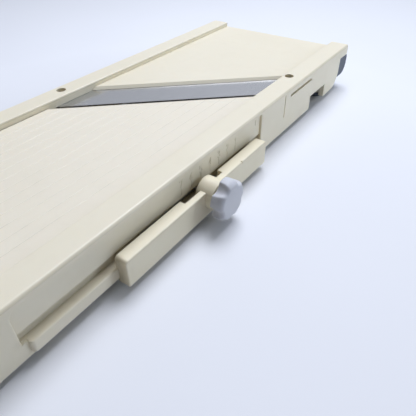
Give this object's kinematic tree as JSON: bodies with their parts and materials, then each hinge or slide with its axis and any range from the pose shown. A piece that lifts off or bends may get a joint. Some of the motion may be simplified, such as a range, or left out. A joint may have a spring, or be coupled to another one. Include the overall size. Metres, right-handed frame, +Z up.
{
  "type": "mandoline slicer",
  "caption": "Hand mandoline with a slanted fixed blade, a feed table that a side slider raises and lowers, a clamping knob and a rubber end bumper.",
  "frame": {"origin": "middle of the footprint at the surface that the rubber feet stand on", "axes": "+X along the body from the handle end to the far end with the rubber bumper, +Y to the user's left, away from the side knob, +Z up"},
  "size_m": [0.4, 0.173, 0.037],
  "materials": {
    "body_ivory": "satin moulded ivory plastic",
    "table_ivory": "satin moulded ivory plastic",
    "slider_ivory": "satin moulded ivory plastic",
    "carriage_white": "plain low-friction white plastic",
    "blade_steel": "finely ground stainless steel",
    "screw_steel": "plain stainless steel",
    "pin_steel": "drawn stainless steel",
    "brass": "plain turned brass",
    "knob_grey": "satin blue-grey plastic",
    "rubber_dark": "matte dark blue-grey rubber"
  },
  "bodies": {
    "frame": {"body_frame": "body_ivory", "main_blade": "blade_steel", "blade_screws": "screw_steel", "blade_inserts": "brass", "end_bumper": "rubber_dark", "near_right_foot": "rubber_dark", "near_left_foot": "rubber_dark", "far_right_foot": "rubber_dark", "far_left_foot": "rubber_dark", "right_guide_post": "pin_steel", "left_guide_post": "pin_steel"},
    "adjuster": {"thickness_slider": "slider_ivory", "ramp_carriage": "carriage_white", "carriage_insert": "brass"},
    "table": {"feed_table": "table_ivory", "follower_pins": "pin_steel", "right_guide_bushing": "carriage_white", "left_guide_bushing": "carriage_white"},
    "washer": {"lock_washer": "screw_steel"},
    "knob": {"lock_knob": "knob_grey", "knob_insert": "brass", "lock_stud": "pin_steel", "stud_ring": "screw_steel"}
  },
  "joints": [
    {"name": "adjuster_slide", "type": "slide", "parent": "frame", "child": "adjuster", "axis": [1, 0, 0], "range_m": [-0.0475, 0.0015]},
    {"name": "table_lift", "type": "slide", "parent": "frame", "child": "table", "axis": [0, 0, 1], "range_m": [-0.0051, 0.0002]},
    {"name": "lock_feed", "type": "slide", "parent": "adjuster", "child": "washer", "axis": [0, -1, 0], "range_m": [0, 0.0012]},
    {"name": "knob_turn", "type": "hinge", "parent": "washer", "child": "knob", "pos_m": [-0.0373, -0.0785, 0.0161], "axis": [0, -1, 0], "range_deg": [0, 540]}
  ],
  "couplings": [
    {"joint": "table_lift", "follows": "adjuster_slide", "ratio": 0.10526},
    {"joint": "lock_feed", "follows": "knob_turn", "m_per_rad": 0.00012732}
  ]
}
